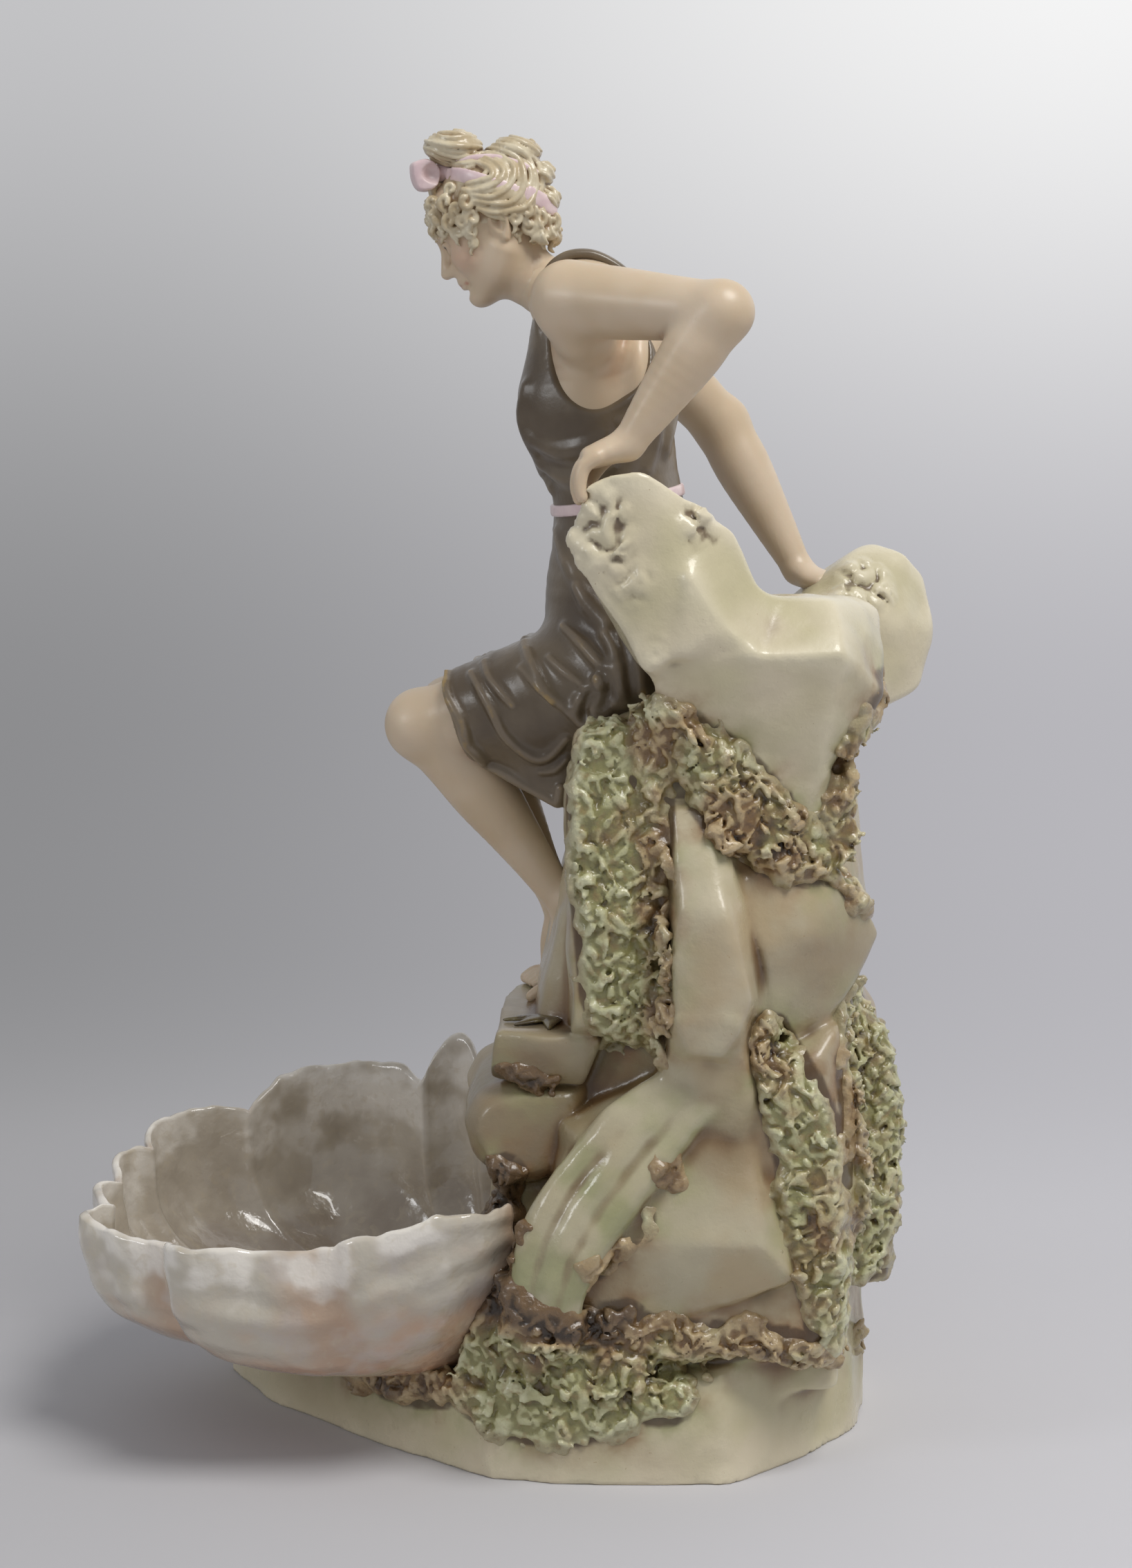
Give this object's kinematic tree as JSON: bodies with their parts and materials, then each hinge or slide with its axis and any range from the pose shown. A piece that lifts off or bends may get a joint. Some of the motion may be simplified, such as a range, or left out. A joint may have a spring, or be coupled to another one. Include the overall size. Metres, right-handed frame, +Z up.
{
  "type": "porcelain figural centerpiece",
  "caption": "Glazed porcelain table centerpiece: a seated maiden on a mossy rock with a vase opening, above a clam-shell bowl.",
  "frame": {"origin": "on the flat foot, under the rock, near the middle of the plinth", "axes": "+Z up, -X towards the tip of the shell bowl, +Y away from the side that shows the figure's left arm"},
  "size_m": [0.317, 0.1907, 0.4754],
  "materials": {
    "porcelain_rock": "ivory glaze with pale green and brown shading",
    "porcelain_shell": "pearly glaze, grey-beige inside and peach under the lobes",
    "porcelain_moss": "crusty green and brown glaze",
    "porcelain_skin": "satin pale peach",
    "porcelain_dress": "satin taupe brown with olive gold on the folds",
    "porcelain_hair": "satin cream blond with brown in the hollows",
    "ribbon_paint": "satin pale pink"
  },
  "bodies": {
    "root": {"centerpiece": "porcelain_rock"}
  },
  "joints": []
}
